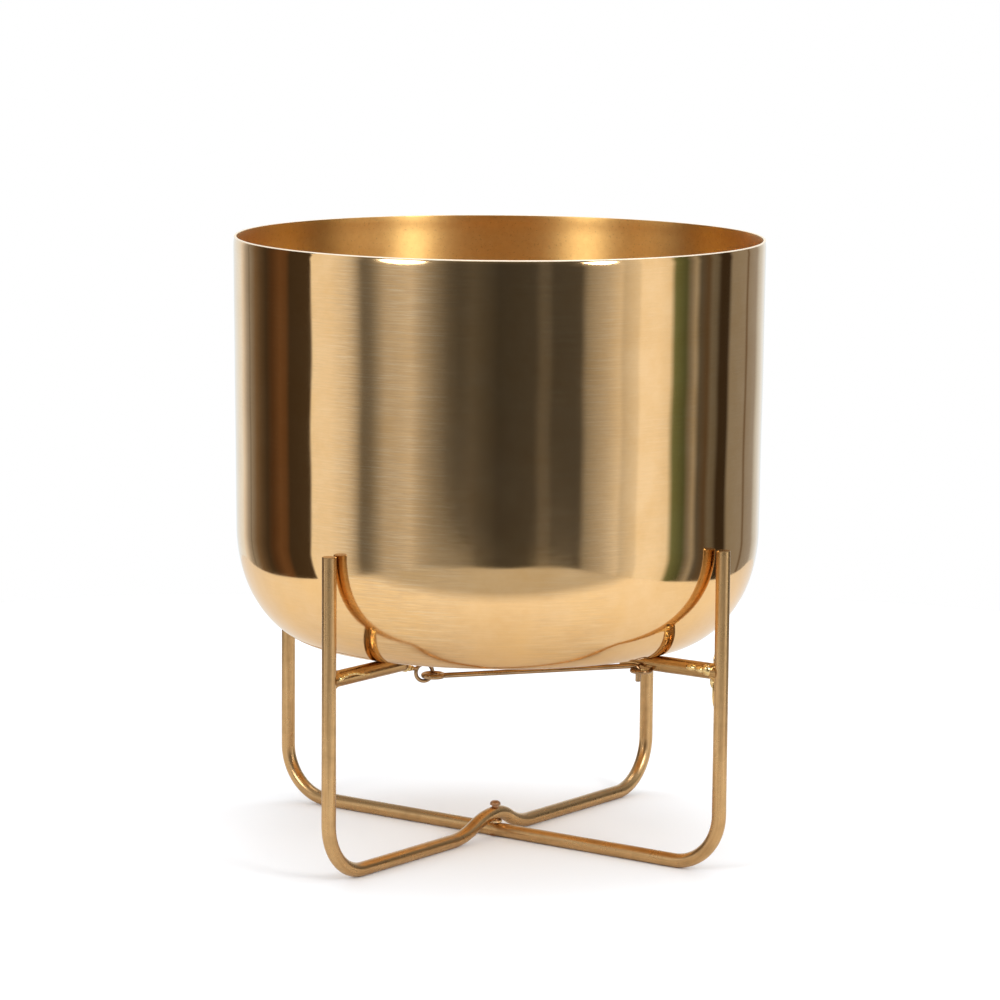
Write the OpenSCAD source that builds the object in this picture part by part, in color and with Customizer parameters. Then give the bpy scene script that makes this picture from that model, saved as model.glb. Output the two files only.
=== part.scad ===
// Round brass planter pot standing in a folding cross stand.
// Millimetres. Origin on the floor, on the axis of the pivot rivet and of the pot. +Z is up.
// The stand is two bent rods that cross under the pot. The hump frame runs from the front left
// to the back right, the flat frame from the back left to the front right, each on a diagonal.

/* [Pot] */
// Outside diameter of the pot
pot_d = 300; // [280:5:320]
// Height of the rim above the floor
rim_z = 348; // [300:1:380]
// Thickness of the brass sheet
sheet_t = 1; // [0.8:0.1:2]
// Width of the rounded lower corner
corner_w = 48; // [40:1:54]
// Height of the rounded lower corner, before the flat base cuts it off
corner_h = 66.6; // [60:0.2:70]
// Height over which the lower corner rises from the base to the straight wall
corner_rise = 64.3; // [50:0.1:66]

/* [Stand] */
// Diameter of the frame rods
rod_d = 8; // [6:0.5:9]
// Gap between the pot's wall and each post
post_gap = 0.45; // [0.3:0.05:2]
// Height of the four posts
post_z = 183.3; // [150:0.1:200]
// Bend radius of the frame corners, at the rod's centre
bend_r = 30; // [20:1:36]
// How far the hump frame steps up over the flat frame
hump_rise = 9.5; // [9.3:0.1:11]
// Half the length of the flat on top of the hump, where the rivet goes through
hump_flat = 3; // [2.5:0.1:4]
// Distance from the rivet to the foot of the hump's front slope
hump_front = 40; // [36:1:46]
// Bend radius at the top of the front slope, at the rod's centre
hump_front_r = 46; // [35:1:50]
// Distance from the rivet to the foot of the hump's back slope
hump_back = 31; // [28:1:40]
// Bend radius at the top of the back slope, at the rod's centre
hump_back_r = 22; // [18:1:28]

/* [Arms] */
// Diameter of the four stub arms that carry the pot
arm_d = 9; // [8:0.5:10]
// Height of the arms' centre line
arm_z = 114.9; // [110:0.1:120]
// Distance of the arms' inner ends from the axis
arm_inner_r = 88; // [80:1:92]
// Chamfer on each arm's inner end
arm_chamfer = 0.7; // [0.3:0.1:1.5]
// Gap left between the arms and the pot's base
seat_gap = 0.2; // [0.1:0.05:0.5]
// Width of the brazed fillet where an arm meets its post
fillet_w = 2.4; // [1.5:0.1:3]

/* [Pivot] */
// Diameter of the rivet's shank
shank_d = 4; // [3:0.1:4.4]
// Diameter of the rivet's head
head_d = 6.2; // [5.5:0.1:8]
// Height of the rivet's head
head_h = 2.5; // [2:0.1:3]
// Gap under the rivet's head
head_gap = 0.8; // [0.3:0.1:1]
// Diameter of the peened lower end
tail_d = 6.4; // [5.4:0.1:6.6]
// Radial running clearance of the flat frame on the rivet
pivot_clearance = 0.06; // [0.02:0.01:0.1]
// Diameter of the spacer washer between the frames
washer_d = 8; // [7:0.5:12]

/* [Stay] */
// Wire diameter of the stay
stay_wire_d = 3; // [2.6:0.1:3.2]
// Wire diameter of the link ring and of the keeper ring
ring_wire_d = 2.2; // [1.8:0.1:2.4]
// Radius of the link ring, at the wire's centre
link_r = 5.5; // [5.4:0.1:5.8]
// Height of the link ring's centre
link_z = 108.5; // [108.4:0.1:108.8]
// Distance from the axis to where the link ring leaves its shank
link_shank_r = 80; // [78:1:82]
// Turn of the link ring out of its arm's own line, in degrees
link_turn = 33.7; // [30:0.1:36]
// Radius of the stay's eye, at the wire's centre
eye_r = 5.5; // [5.4:0.1:5.8]
// Height of the stay's eye
eye_z = 106.1; // [106:0.1:106.3]
// Offset of the eye on the link ring, along the stay
eye_slack = 0.9; // [0.5:0.1:1.2]
// Radius of the keeper ring, at the wire's centre
keeper_r = 5.35; // [5.2:0.05:5.6]
// Height of the keeper ring
keeper_z = 110.8; // [110.6:0.1:110.9]
// Distance of the keeper ring from the axis, along its arm
keeper_along = 104.8; // [103:0.1:107]
// Distance of the keeper ring from its arm's centre line
keeper_aside = 5.9; // [5.8:0.1:6.4]
// How far the stay's tip stands off the keeper ring's centre
tip_offset = 1.7; // [1.2:0.1:1.8]
// Bend radius where the stay turns down, at the wire's centre
tip_bend_r = 3; // [2.6:0.1:3.2]
// Height of the stay's straight rod where it turns down
stay_end_z = 113.55; // [113.5:0.05:113.8]
// Height of the lower end of the stay's tip
tip_z = 104.6; // [103:0.1:107]

/* [Hidden] */
$fn = 64;
pot_color = "#d9b36a";
rod_color = "#a8803c";
arm_color = "#9c7634";
braze_color = "#e0bc62";
rivet_color = "#8a5f42";
wire_color = "#a9876a";

pot_r = pot_d / 2;
rod_r = rod_d / 2;
post_r = pot_r + post_gap + rod_r;
base_z = arm_z + arm_d / 2 + seat_gap;
wall_z = base_z + corner_rise;
corner_steps = 18;
profile_fn = 240;

// Azimuths of the four posts.
front_left = 225;
back_right = 45;
front_right = -45;
back_left = 135;

washer_gap = 0.1;
washer_low = rod_d + washer_gap;
washer_top = hump_rise - washer_gap;
tail_low = 0.15;
tail_top = 1;
tail_room = 0.3;
head_low = rod_d + hump_rise + head_gap;
shank_r = shank_d / 2;
head_flat_h = 1.1;

wire_r = stay_wire_d / 2;
ring_wire_r = ring_wire_d / 2;
braze_r = 2;
braze_half_angle = 24;

// Straight lengths run this far into a bend, and a bend is this much fuller than the straight rod.
lap = 0.3;
swell = 0.04;

// Plan position of a point at distance r along azimuth a, then aside to its left.
function polar_point(a, r, aside = 0) = [r * cos(a) - aside * sin(a), r * sin(a) + aside * cos(a)];

// The link ring stands upright in the direction link_azimuth.
link_azimuth = back_right - link_turn;
link_start = polar_point(front_left, link_shank_r);
link_centre = link_start + polar_point(link_azimuth, link_r);
link_limb = link_centre + polar_point(link_azimuth, sqrt(link_r ^ 2 - (link_z - eye_z) ^ 2));

// The stay points from the link ring's inner limb to the keeper ring.
keeper_centre = polar_point(front_right, keeper_along, -keeper_aside);
stay_line = keeper_centre - link_limb;
stay_azimuth = atan2(stay_line[1], stay_line[0]);
eye_centre = link_limb + polar_point(stay_azimuth, eye_slack);
stay_length = norm(stay_line) - eye_slack - tip_offset;

// The stay's straight rod climbs from the eye to the bend over the keeper ring.
bend_x = stay_length - tip_bend_r;
bend_z = stay_end_z - tip_bend_r;
bend_reach = norm([bend_x - eye_r, bend_z - eye_z]);
climb = atan2(bend_z - eye_z, bend_x - eye_r) + asin(tip_bend_r / bend_reach);
rod_length = sqrt(bend_reach ^ 2 - tip_bend_r ^ 2);

// One outline of the pot's section: its corner is a quarter ellipse cut off by the flat base.
function corner_points(inset) = [
    for (i = [0:corner_steps])
        let (drop = asin((wall_z - base_z - inset) / (corner_h - inset)) * (1 - i / corner_steps))
        [pot_r - corner_w + (corner_w - inset) * cos(drop), wall_z - (corner_h - inset) * sin(drop)]
];

function reversed(points) = [for (i = [len(points) - 1:-1:0]) points[i]];

// Straight rod along +X at height z, from x = a to x = b.
module straight(a, b, z, d = rod_d) {
    translate([a, 0, z])
        rotate([0, 90, 0])
            cylinder(d = d, h = b - a);
}

// Bent rod in the XZ plane, round the centre (x, z), from angle a through the angle turn.
module bend(x, z, r, a, turn, d = rod_d) {
    translate([x, 0, z])
        rotate([90, 0, 0])
            rotate([0, 0, a])
                rotate_extrude(angle = turn)
                    translate([r, 0])
                        circle(d = d);
}

// Post with its bottom corner, on the +X side.
module post() {
    translate([post_r, 0, rod_r + bend_r])
        cylinder(d = rod_d, h = post_z - rod_r - bend_r);
    bend(post_r - bend_r, rod_r + bend_r, bend_r, -90, 90);
}

// One slope of the hump on the +X side, with the straight rail beyond it.
module hump_slope(run, top_r) {
    slope = 2 * atan(hump_rise / (run - hump_flat));
    low_r = (run - hump_flat) / sin(slope) - top_r;
    lap_angle = lap / top_r * 180 / PI;
    bend(hump_flat, rod_r + hump_rise - top_r, top_r, 90 - slope - lap_angle, slope + lap_angle);
    bend(run, rod_r + low_r, low_r, -90 - slope, slope, rod_d + 2 * swell);
    straight(run - lap, post_r - bend_r, rod_r);
}

// Stub arm of a post, coped to the post's round side.
module stub_arm(azimuth) {
    color(arm_color)
        rotate([0, 0, azimuth])
            difference() {
                union() {
                    straight(arm_inner_r + arm_chamfer, post_r, arm_z, arm_d);
                    translate([arm_inner_r, 0, arm_z])
                        rotate([0, 90, 0])
                            cylinder(d1 = arm_d - 2 * arm_chamfer, d2 = arm_d, h = arm_chamfer);
                }
                translate([post_r, 0, 0])
                    cylinder(d = rod_d, h = rim_z);
            }
}

// Brazed fillet round the joint of an arm and its post.
module braze_fillet(azimuth) {
    fillet_start = post_r - rod_r - 1.6 * fillet_w;
    fillet_end = post_r - rod_r / 2;
    side_w = arm_d + 1;
    color(braze_color)
        rotate([0, 0, azimuth])
            difference() {
                intersection() {
                    translate([fillet_start, 0, arm_z])
                        rotate([0, 90, 0])
                            cylinder(d1 = arm_d + 0.2, d2 = arm_d + 2 * fillet_w, h = fillet_end - fillet_start);
                    translate([0, -side_w / 2, 0])
                        cube([post_r, side_w, rim_z]);
                }
                straight(arm_inner_r, post_r + rod_d, arm_z, arm_d);
                translate([post_r, 0, 0])
                    cylinder(d = rod_d, h = rim_z);
            }
}

module pot_shell() {
    outline = concat(
        [[0, base_z]],
        corner_points(0),
        [[pot_r, rim_z], [pot_r - sheet_t, rim_z]],
        reversed(corner_points(sheet_t)),
        [[0, base_z + sheet_t]]
    );
    color(pot_color)
        rotate_extrude($fn = profile_fn)
            polygon(outline);
}

module hump_frame() {
    color(rod_color)
        rotate([0, 0, back_right])
            difference() {
                union() {
                    post();
                    mirror([1, 0, 0])
                        post();
                    hump_slope(hump_back, hump_back_r);
                    mirror([1, 0, 0])
                        hump_slope(hump_front, hump_front_r);
                    straight(-hump_flat - lap, hump_flat + lap, rod_r + hump_rise, rod_d + 2 * swell);
                }
                cylinder(d = shank_d, h = rim_z / 2);
            }
}

module flat_frame() {
    color(rod_color)
        rotate([0, 0, front_right])
            difference() {
                union() {
                    post();
                    mirror([1, 0, 0])
                        post();
                    straight(bend_r - post_r, post_r - bend_r, rod_r);
                }
                translate([0, 0, -1])
                    cylinder(d = shank_d + 2 * pivot_clearance, h = rod_d + 2);
                translate([0, 0, -1])
                    cylinder(d = tail_d + 2 * tail_room, h = tail_top + tail_room + 1);
            }
}

module arm_front_left() { stub_arm(front_left); }
module arm_back_right() { stub_arm(back_right); }
module arm_front_right() { stub_arm(front_right); }
module arm_back_left() { stub_arm(back_left); }
module braze_front_left() { braze_fillet(front_left); }
module braze_back_right() { braze_fillet(back_right); }
module braze_front_right() { braze_fillet(front_right); }
module braze_back_left() { braze_fillet(back_left); }

// Pan head on top, plain shank through both rods, peened end let into the lower rod.
module pivot_rivet() {
    color(rivet_color) {
        translate([0, 0, tail_low])
            cylinder(d = shank_d, h = head_low - tail_low + head_h / 2);
        translate([0, 0, tail_low])
            cylinder(d = tail_d, h = tail_top - tail_low);
        translate([0, 0, head_low])
            cylinder(d = head_d, h = head_flat_h);
        translate([0, 0, head_low + head_flat_h])
            cylinder(d1 = head_d, d2 = head_d * 0.6, h = head_h - head_flat_h);
    }
}

module spacer_washer() {
    color(rivet_color)
        translate([0, 0, washer_low])
            difference() {
                cylinder(d = washer_d, h = washer_top - washer_low);
                translate([0, 0, -1])
                    cylinder(d = shank_d, h = hump_rise);
            }
}

// Upright ring at the inner end of the front left arm, with its short shank under the arm.
module link_ring() {
    shank_length = arm_inner_r + 5 - link_shank_r;
    color(wire_color) {
        translate([link_centre[0], link_centre[1], link_z])
            rotate([0, 0, link_azimuth])
                rotate([90, 0, 0])
                    rotate_extrude()
                        translate([link_r, 0])
                            circle(r = ring_wire_r);
        rotate([0, 0, front_left])
            straight(link_shank_r, link_shank_r + shank_length, shank_z(), ring_wire_d);
    }
}

// The shank lies against the underside of the arm.
function shank_z() = arm_z - arm_d / 2 - ring_wire_r;

module link_braze() {
    color(braze_color)
        rotate([0, 0, front_left])
            difference() {
                straight(arm_inner_r - 1.4, arm_inner_r + 4, shank_z(), 2 * braze_r);
                straight(link_shank_r, post_r, shank_z(), ring_wire_d);
                straight(arm_inner_r, post_r, arm_z, arm_d);
            }
}

// Round wire ring lying flat, let into the underside of the front right arm.
module keeper_torus(wire, turn = 360) {
    translate([keeper_centre[0], keeper_centre[1], keeper_z])
        rotate([0, 0, back_right - turn / 2])
            rotate_extrude(angle = turn)
                translate([keeper_r, 0])
                    circle(r = wire);
}

module keeper_ring() {
    color(wire_color)
        difference() {
            keeper_torus(ring_wire_r);
            rotate([0, 0, front_right])
                straight(arm_inner_r, post_r, arm_z, arm_d);
        }
}

module keeper_braze() {
    color(braze_color)
        difference() {
            keeper_torus(braze_r, 2 * braze_half_angle);
            keeper_torus(ring_wire_r);
            rotate([0, 0, front_right])
                straight(arm_inner_r, post_r, arm_z, arm_d);
        }
}

// Wire stay: flat eye round the link ring, straight rod, and a tip turned down into the keeper ring.
module stay_rod() {
    color(wire_color)
        translate([eye_centre[0], eye_centre[1], 0])
            rotate([0, 0, stay_azimuth]) {
                translate([0, 0, eye_z])
                    rotate_extrude()
                        translate([eye_r, 0])
                            circle(r = wire_r);
                translate([eye_r, 0, eye_z])
                    rotate([0, 90 - climb, 0])
                        cylinder(r = wire_r, h = rod_length + lap);
                bend(bend_x, bend_z, tip_bend_r, 0, 90 + climb, stay_wire_d + 2 * swell);
                translate([stay_length, 0, tip_z])
                    cylinder(r = wire_r, h = bend_z + lap - tip_z);
            }
}

pot_shell();
hump_frame();
flat_frame();
arm_front_left();
arm_back_right();
arm_front_right();
arm_back_left();
braze_front_left();
braze_back_right();
braze_front_right();
braze_back_left();
pivot_rivet();
spacer_washer();
link_ring();
link_braze();
keeper_ring();
keeper_braze();
stay_rod();
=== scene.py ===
import math

import bmesh
import bpy
from mathutils import Matrix, Vector, noise


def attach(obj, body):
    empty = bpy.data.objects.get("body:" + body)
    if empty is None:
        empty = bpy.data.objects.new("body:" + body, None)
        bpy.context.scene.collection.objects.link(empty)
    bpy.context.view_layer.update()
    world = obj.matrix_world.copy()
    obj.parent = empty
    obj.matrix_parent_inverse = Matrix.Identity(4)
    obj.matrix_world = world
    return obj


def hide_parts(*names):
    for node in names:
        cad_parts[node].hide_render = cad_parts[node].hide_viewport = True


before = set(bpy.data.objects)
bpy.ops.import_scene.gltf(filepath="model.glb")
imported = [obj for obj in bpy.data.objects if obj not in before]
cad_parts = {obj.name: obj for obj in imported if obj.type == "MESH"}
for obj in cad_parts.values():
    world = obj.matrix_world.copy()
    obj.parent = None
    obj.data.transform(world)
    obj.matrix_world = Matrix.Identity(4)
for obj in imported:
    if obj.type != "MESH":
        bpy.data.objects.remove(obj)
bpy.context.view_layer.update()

MM = 0.001

# Sizes in millimetres, as in the part's source.
POT_R = 150.0
RIM_Z = 348.0
SHEET = 1.0
CORNER_W = 48.0
CORNER_H = 66.6
BASE_Z = 119.6
WALL_Z = 183.9
ROD_R = 4.0
POST_R = 154.45
POST_TOP = 183.3
BEND_R = 30.0
HUMP_RISE = 9.5
ARM_R = 4.5
ARM_Z = 114.9
ARM_END = 88.0
RING_WIRE_R = 1.1
STAY_WIRE_R = 1.5

# Azimuths of the posts, in degrees.
FRONT_LEFT = 225.0
BACK_RIGHT = 45.0
FRONT_RIGHT = -45.0
BACK_LEFT = 135.0


# ---------------------------------------------------------------- finishes


def node(tree, kind, **settings):
    made = tree.nodes.new(kind)
    for key, value in settings.items():
        setattr(made, key, value)
    return made


def wire(tree, out_socket, in_socket):
    tree.links.new(out_socket, in_socket)


def calculate(tree, operation, first, second=None):
    made = node(tree, "ShaderNodeMath", operation=operation)
    for socket, value in zip(made.inputs, (first, second)):
        if value is None:
            continue
        if isinstance(value, (int, float)):
            socket.default_value = value
        else:
            wire(tree, value, socket)
    return made.outputs[0]


def noise_of(tree, vector, scale, detail, roughness):
    made = node(tree, "ShaderNodeTexNoise")
    made.inputs["Scale"].default_value = scale
    made.inputs["Detail"].default_value = detail
    made.inputs["Roughness"].default_value = roughness
    wire(tree, vector, made.inputs["Vector"])
    return made.outputs["Fac"]


def spread(tree, value, low, high, to_low, to_high):
    """A value between low and high, moved to between to_low and to_high and held there."""
    made = node(tree, "ShaderNodeMapRange", clamp=True)
    wire(tree, value, made.inputs["Value"])
    limits = {"From Min": low, "From Max": high, "To Min": to_low, "To Max": to_high}
    for name, number in limits.items():
        made.inputs[name].default_value = number
    return made.outputs["Result"]


def blend_colour(tree, factor, first, second):
    made = node(tree, "ShaderNodeMix", data_type="RGBA", blend_type="MIX", clamp_factor=True)
    for socket, value in ((made.inputs[0], factor), (made.inputs[6], first), (made.inputs[7], second)):
        if isinstance(value, (int, float)):
            socket.default_value = value
        elif isinstance(value, tuple):
            socket.default_value = (*value, 1.0)
        else:
            wire(tree, value, socket)
    return made.outputs[2]


def split_xyz(tree, vector):
    """The three parts of a vector, as a list of sockets."""
    made = node(tree, "ShaderNodeSeparateXYZ")
    wire(tree, vector, made.inputs[0])
    return made.outputs


def object_place(tree):
    return node(tree, "ShaderNodeTexCoord").outputs["Object"]


def straight_out(tree, place):
    """The level direction from the object's axis to a place."""
    level = node(tree, "ShaderNodeVectorMath", operation="MULTIPLY")
    level.inputs[1].default_value = (1.0, 1.0, 0.0)
    wire(tree, place, level.inputs[0])
    way = node(tree, "ShaderNodeVectorMath", operation="NORMALIZE")
    wire(tree, level.outputs[0], way.inputs[0])
    return way.outputs[0]


def new_finish(name, metallic=1.0):
    made = bpy.data.materials.new(name)
    made.use_nodes = True
    tree = made.node_tree
    shader = tree.nodes["Principled BSDF"]
    shader.inputs["Metallic"].default_value = metallic
    return made, tree, shader


def relief(tree, height, strength, depth_mm, shader):
    made = node(tree, "ShaderNodeBump")
    made.inputs["Strength"].default_value = strength
    made.inputs["Distance"].default_value = depth_mm * MM
    wire(tree, height, made.inputs["Height"])
    wire(tree, made.outputs["Normal"], shader.inputs["Normal"])


def stretched(tree, flat, third, flat_mm, third_mm):
    """The x and y of a vector and a third value, each counted in units of a length of its own."""
    parts = split_xyz(tree, flat)
    join = node(tree, "ShaderNodeCombineXYZ")
    for axis in (0, 1):
        wire(tree, calculate(tree, "MULTIPLY", parts[axis], 1 / (flat_mm * MM)), join.inputs[axis])
    wire(tree, calculate(tree, "MULTIPLY", third, 1 / (third_mm * MM)), join.inputs[2])
    return join.outputs[0]


def round_the_pot(tree, along_mm, up_mm):
    """A vector whose pattern is stretched along the wall's circumference."""
    place = object_place(tree)
    return stretched(tree, place, split_xyz(tree, place)[2], along_mm, up_mm)


def brushed_round(tree, shader, amount):
    """Brush lines run round the pot, so a highlight spreads up and down."""
    tangent = node(tree, "ShaderNodeTangent", direction_type="RADIAL", axis="Z")
    wire(tree, tangent.outputs[0], shader.inputs["Tangent"])
    shader.inputs["Anisotropic"].default_value = amount
    shader.inputs["Anisotropic Rotation"].default_value = 0.25


def worked_strip(tree, azimuth, half_width):
    """1 in the middle of a strip of wall at an azimuth, fading to 0 at its sides."""
    facing = node(tree, "ShaderNodeVectorMath", operation="DOT_PRODUCT")
    facing.inputs[1].default_value = (math.cos(math.radians(azimuth)), math.sin(math.radians(azimuth)), 0.0)
    wire(tree, straight_out(tree, object_place(tree)), facing.inputs[0])
    side = math.cos(math.radians(half_width))
    core = math.cos(math.radians(STRIP_CORE * half_width))
    return spread(tree, facing.outputs["Value"], side, core, 0.0, 1.0)


# Strips of the wall that the buffing wheel went over harder, with angles in degrees:
# (azimuth, half width, amount).
WORKED_STRIPS = ((240, 17, 1.0), (60, 24, 1.0), (278, 11, 0.5))
# The part of a strip's half width that is worked in full.
STRIP_CORE = 0.55

# Heights in metres between which the painted reflection on the lower curve fades out. It is a warm golden
# tone standing for the stand's brass mirrored there.
REFLECTION_FULL_Z = 0.14
REFLECTION_GONE_Z = 0.185

# Base colours of the pot.
CLEAN = (0.92, 0.615, 0.31)
CLOUDED = (0.84, 0.52, 0.22)
# Painted reflection: the warm golden tone of the stand's brass mirrored on the lower curve.
WARM_REFLECTION = (0.98, 0.60, 0.22)
BUFFED_LINE = (0.70, 0.47, 0.25)
SCRATCH = (1.0, 0.80, 0.52)
# Painted bounce light: the inside's warm, deep tones stand for light bounced round inside the pot; the
# cloud picks at random between these two.
SATIN_LIGHT = (0.90, 0.575, 0.20)
SATIN_DARK = (0.84, 0.51, 0.17)
SATIN_LINE = (0.97, 0.68, 0.30)
SATIN_PIT = (0.45, 0.25, 0.08)


def polished_brass():
    """Outside of the pot: mirror polish with the fine lines left by the buffing wheel, and a painted warm
    reflection of the stand's brass low on the curve.
    """
    made, tree, shader = new_finish("polished brass")
    place = object_place(tree)
    lines = noise_of(tree, round_the_pot(tree, 14, 0.8), 1.0, detail=5.0, roughness=0.75)
    scratches = noise_of(tree, round_the_pot(tree, 24, 0.8), 1.0, detail=4.0, roughness=0.7)
    patches = noise_of(tree, round_the_pot(tree, 40, 40), 1.0, detail=4.0, roughness=0.6)
    cloud = noise_of(tree, place, 45.0, detail=5.0, roughness=0.65)
    reflection_blotches = noise_of(tree, place, 14.0, detail=3.0, roughness=0.6)

    strips = 0.0
    for azimuth, half_width, amount in WORKED_STRIPS:
        strip = calculate(tree, "MULTIPLY", worked_strip(tree, azimuth, half_width), amount)
        strips = calculate(tree, "MAXIMUM", strips, strip)
    strips = calculate(tree, "MULTIPLY", strips, 0.7)
    worked = calculate(tree, "ADD", spread(tree, patches, 0.35, 0.65, 0.05, 0.4), strips)
    buffed = calculate(tree, "MULTIPLY", spread(tree, lines, 0.36, 0.68, 0.0, 1.0), worked)
    scratched = calculate(tree, "MULTIPLY", spread(tree, scratches, 0.5, 0.7, 0.0, 0.5), worked)
    # Painted reflection: warm blotches low on the curve, fading out up the wall, stand for the stand's
    # brass mirrored there.
    low = spread(tree, split_xyz(tree, place)[2], REFLECTION_FULL_Z, REFLECTION_GONE_Z, 0.6, 0.0)
    painted_reflection = calculate(tree, "MULTIPLY", low, spread(tree, reflection_blotches, 0.42, 0.62, 0.0, 1.0))

    tone = blend_colour(tree, spread(tree, cloud, 0.35, 0.7, 0.0, 0.8), CLEAN, CLOUDED)
    tone = blend_colour(tree, painted_reflection, tone, WARM_REFLECTION)
    tone = blend_colour(tree, calculate(tree, "MULTIPLY", buffed, 0.85), tone, BUFFED_LINE)
    tone = blend_colour(tree, scratched, tone, SCRATCH)
    wire(tree, tone, shader.inputs["Base Color"])
    line_haze = spread(tree, buffed, 0.0, 1.0, 0.05, 0.11)
    strip_haze = spread(tree, worked, 0.1, 1.0, 0.0, 0.05)
    wire(tree, calculate(tree, "ADD", line_haze, strip_haze), shader.inputs["Roughness"])
    brushed_round(tree, shader, 0.6)
    relief(tree, lines, 0.05, 0.003, shader)
    return made


def satin_brass():
    """Inside of the pot: brushed round and round. Its warmer, deeper tone than the outside is painted
    light, standing for the warm light bounced round inside the pot.
    """
    made, tree, shader = new_finish("satin brass")
    place = object_place(tree)
    lines = noise_of(tree, round_the_pot(tree, 30, 0.5), 1.0, detail=3.0, roughness=0.6)
    cloud = noise_of(tree, place, 300.0, detail=4.0, roughness=0.6)
    pits = noise_of(tree, place, 800.0, detail=2.0, roughness=0.6)
    tone = blend_colour(tree, spread(tree, cloud, 0.3, 0.7, 0.0, 1.0), SATIN_LIGHT, SATIN_DARK)
    tone = blend_colour(tree, spread(tree, lines, 0.3, 0.7, 0.0, 0.15), tone, SATIN_LINE)
    tone = blend_colour(tree, spread(tree, pits, 0.62, 0.7, 0.0, 0.4), tone, SATIN_PIT)
    wire(tree, tone, shader.inputs["Base Color"])
    wire(tree, spread(tree, lines, 0.3, 0.7, 0.34, 0.42), shader.inputs["Roughness"])
    brushed_round(tree, shader, 0.8)
    relief(tree, lines, 0.08, 0.004, shader)
    return made


# How wide a drawing streak is round a rod, and how much of its dark colour the tarnish keeps.
STREAK_MM = 1.1
TARNISH_KEEPS = 0.72


def drawn_brass(name, bright, dark, rough, stretch_mm):
    """Drawn rod or wire: streaks run along its length, in the sweep's own attributes."""
    made, tree, shader = new_finish(name)
    along = node(tree, "ShaderNodeAttribute", attribute_name="along").outputs["Fac"]
    about = node(tree, "ShaderNodeAttribute", attribute_name="about").outputs["Vector"]
    skin = stretched(tree, about, along, STREAK_MM, stretch_mm)
    streaks = noise_of(tree, skin, 1.0, detail=3.0, roughness=0.6)
    tarnish = noise_of(tree, object_place(tree), 90.0, detail=4.0, roughness=0.65)
    tarnished = tuple(TARNISH_KEEPS * part for part in dark)
    tone = blend_colour(tree, spread(tree, streaks, 0.35, 0.65, 0.0, 1.0), bright, dark)
    tone = blend_colour(tree, spread(tree, tarnish, 0.5, 0.8, 0.0, 0.6), tone, tarnished)
    wire(tree, tone, shader.inputs["Base Color"])
    wire(tree, spread(tree, tarnish, 0.3, 0.7, rough - 0.05, rough + 0.08), shader.inputs["Roughness"])
    relief(tree, streaks, 0.2, 0.02, shader)
    return made


def cast_metal(name, bright, dark, rough, grain=260.0, depth_mm=0.04, metallic=1.0):
    """Braze, copper, the washer and the rim's cut edge, whose pale colour is a painted highlight: no
    direction to the grain.
    """
    made, tree, shader = new_finish(name, metallic)
    cloud = noise_of(tree, object_place(tree), grain, detail=4.0, roughness=0.6)
    tone = blend_colour(tree, spread(tree, cloud, 0.35, 0.68, 0.0, 1.0), bright, dark)
    wire(tree, tone, shader.inputs["Base Color"])
    wire(tree, spread(tree, cloud, 0.3, 0.7, rough - 0.04, rough + 0.1), shader.inputs["Roughness"])
    relief(tree, cloud, 0.4, depth_mm, shader)
    return made


POLISHED = polished_brass()
SATIN = satin_brass()
# Painted highlight: the rim's cut edge is pale cream and only half metal, so it shows as a thin pale line
# under any light.
RIM_EDGE_HIGHLIGHT = cast_metal(
    "cut edge", (0.95, 0.85, 0.70), (0.90, 0.76, 0.58), 0.5, grain=200.0, depth_mm=0.0, metallic=0.3
)
ROD_FINISH = drawn_brass("drawn rod brass", (0.74, 0.475, 0.225), (0.59, 0.355, 0.155), 0.28, 40)
ARM_FINISH = drawn_brass("arm brass", (0.60, 0.37, 0.155), (0.40, 0.23, 0.09), 0.22, 30)
WIRE_FINISH = drawn_brass("wire brass", (0.56, 0.36, 0.19), (0.33, 0.20, 0.10), 0.22, 12)
COLLAR_FINISH = cast_metal("brazed collar", (0.78, 0.50, 0.20), (0.52, 0.30, 0.11), 0.2, grain=160.0)
BRAZE_FINISH = cast_metal("braze", (0.98, 0.76, 0.38), (0.80, 0.54, 0.21), 0.21)
RIVET_FINISH = cast_metal("rivet copper", (0.66, 0.40, 0.24), (0.40, 0.22, 0.12), 0.3)
WASHER_FINISH = cast_metal(
    "washer brass", (0.93, 0.72, 0.45), (0.80, 0.57, 0.31), 0.22, grain=300.0, depth_mm=0.02
)


# ---------------------------------------------------------------- rods and wires, swept along their paths


def geometry_tree(name, output, **inputs):
    """A tree with one geometry output, and inputs given as name=kind with _ for a space."""
    tree = bpy.data.node_groups.new(name, "GeometryNodeTree")
    for port, kind in inputs.items():
        port = port.replace("_", " ")
        tree.interface.new_socket(port, in_out="INPUT", socket_type="NodeSocket" + kind)
    tree.interface.new_socket(output, in_out="OUTPUT", socket_type="NodeSocketGeometry")
    return tree, node(tree, "NodeGroupInput"), node(tree, "NodeGroupOutput")


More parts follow.
